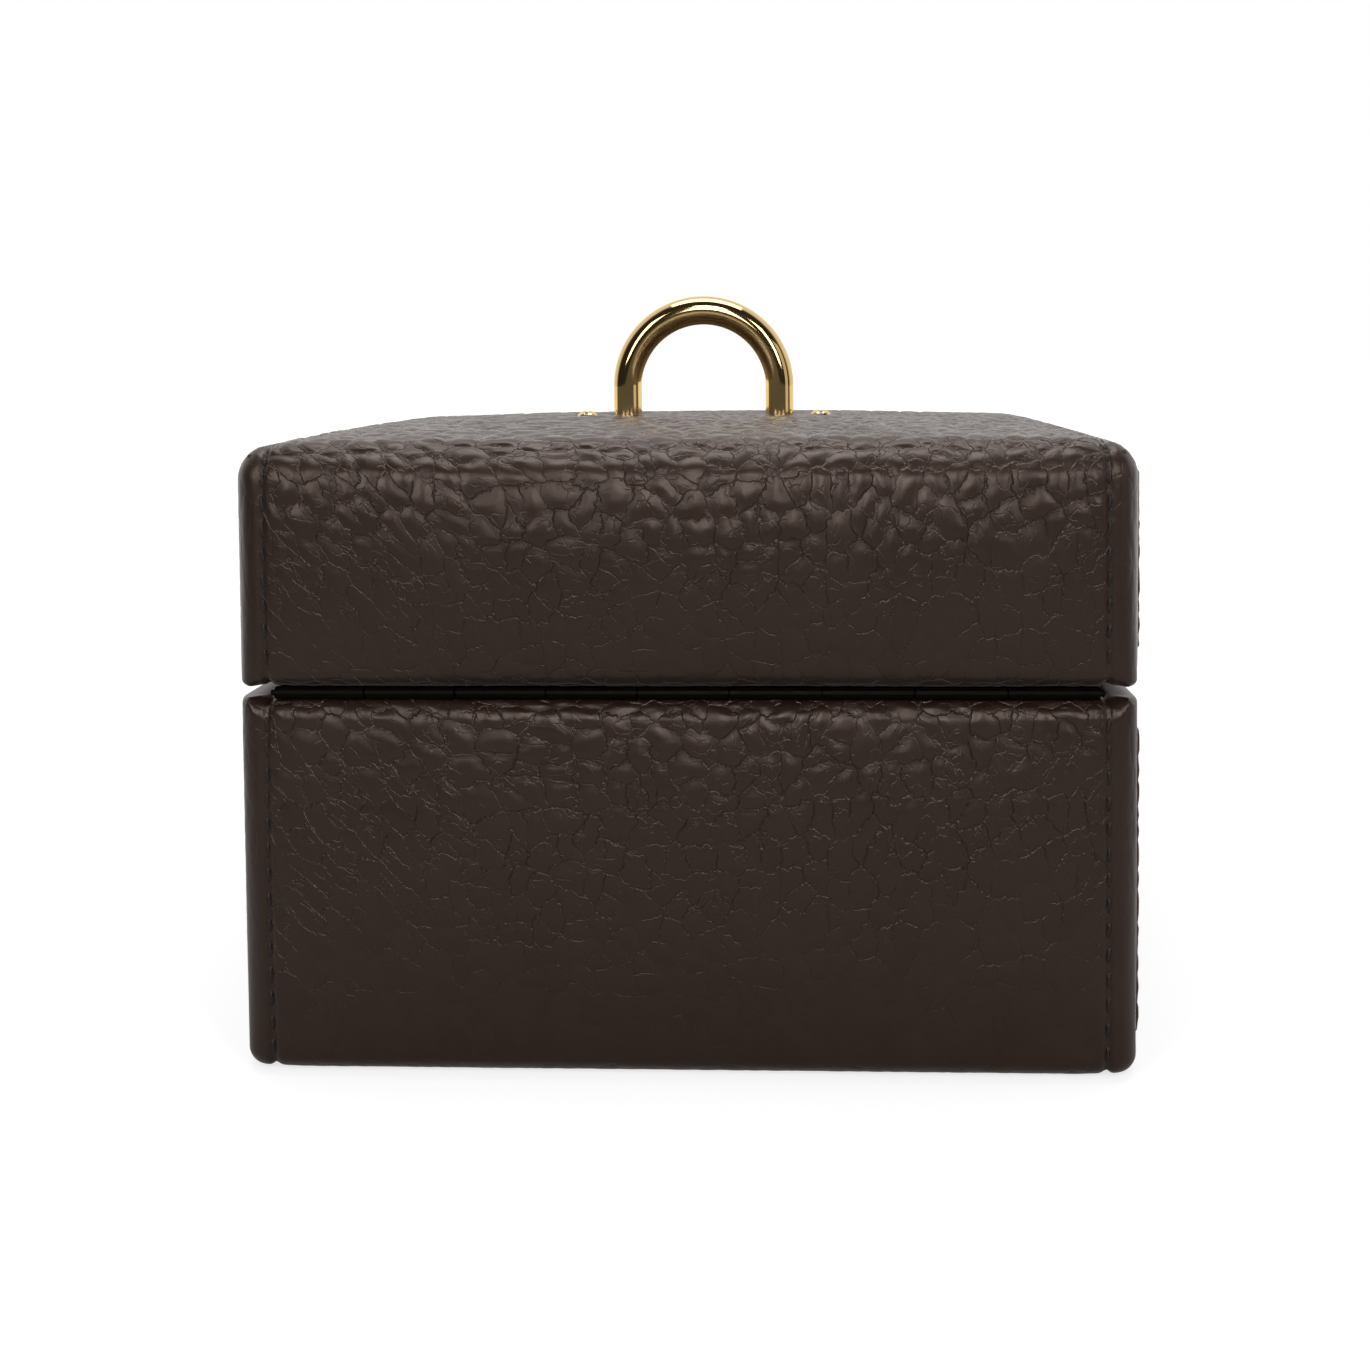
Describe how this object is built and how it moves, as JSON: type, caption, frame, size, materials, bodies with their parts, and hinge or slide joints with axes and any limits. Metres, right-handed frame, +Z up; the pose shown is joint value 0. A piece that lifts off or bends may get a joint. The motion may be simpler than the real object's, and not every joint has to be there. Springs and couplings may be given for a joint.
{
  "type": "jewelry box with drawers",
  "caption": "Small dark brown leather jewelry box: hinged padded lid with a gold loop handle, fitted jewel tray under it, and drawers below.",
  "frame": {"origin": "middle of the flat underside of the bottom panel, which stands on the surface", "axes": "+Z up; -Y is the back with the hinge, which the picture shows; +Y is the front with the drawers; +X is to the right in the picture"},
  "size_m": [0.126, 0.1146, 0.1102],
  "materials": {
    "leather": "dark brown pebbled leather, soft sheen",
    "suede": "matt taupe microfibre suede",
    "board": "fibreboard, papered dark brown",
    "gold": "mirror polished, gold plated",
    "bronze": "dark bronze, satin",
    "steel": "nickel plated",
    "foam": "soft padding sheet"
  },
  "bodies": {
    "base": {"base_wrap": "leather", "base_left_panel": "leather", "base_right_panel": "leather", "bottom_panel": "leather", "base_bottom_board": "board", "base_back_board": "board", "base_left_board": "board", "base_right_board": "board", "base_front_board": "board", "tray_shelf": "board", "drawer_divider": "board", "inner_collar": "suede", "jewel_tray": "suede", "ring_roll_1": "suede", "ring_roll_2": "suede", "ring_roll_3": "suede", "ring_roll_4": "suede", "base_hinge_leaf": "bronze", "hinge_pin": "bronze", "base_left_magnet": "steel", "base_right_magnet": "steel"},
    "lid": {"lid_wrap": "leather", "lid_left_panel": "leather", "lid_right_panel": "leather", "lid_top_board": "board", "lid_back_board": "board", "lid_front_board": "board", "lid_left_board": "board", "lid_right_board": "board", "lid_padding": "foam", "lid_lining": "suede", "handle_loop": "gold", "handle_left_screw": "gold", "handle_right_screw": "gold", "handle_plate": "steel", "handle_left_nut": "steel", "handle_right_nut": "steel", "lid_hinge_leaf": "bronze", "lid_left_magnet": "steel", "lid_right_magnet": "steel"},
    "left_drawer": {"left_drawer_box": "board", "left_drawer_front": "leather", "left_drawer_lining": "suede", "left_drawer_pull": "gold", "left_pull_screw": "steel"},
    "right_drawer": {"right_drawer_box": "board", "right_drawer_front": "leather", "right_drawer_lining": "suede", "right_drawer_pull": "gold", "right_pull_screw": "steel"}
  },
  "joints": [
    {"name": "lid_hinge", "type": "hinge", "parent": "base", "child": "lid", "pos_m": [0, -0.0508, 0.0536], "axis": [1, 0, 0], "range_deg": [0, 95]},
    {"name": "left_drawer_slide", "type": "slide", "parent": "base", "child": "left_drawer", "axis": [0, 1, 0], "range_m": [0, 0.06]},
    {"name": "right_drawer_slide", "type": "slide", "parent": "base", "child": "right_drawer", "axis": [0, 1, 0], "range_m": [0, 0.06]}
  ]
}
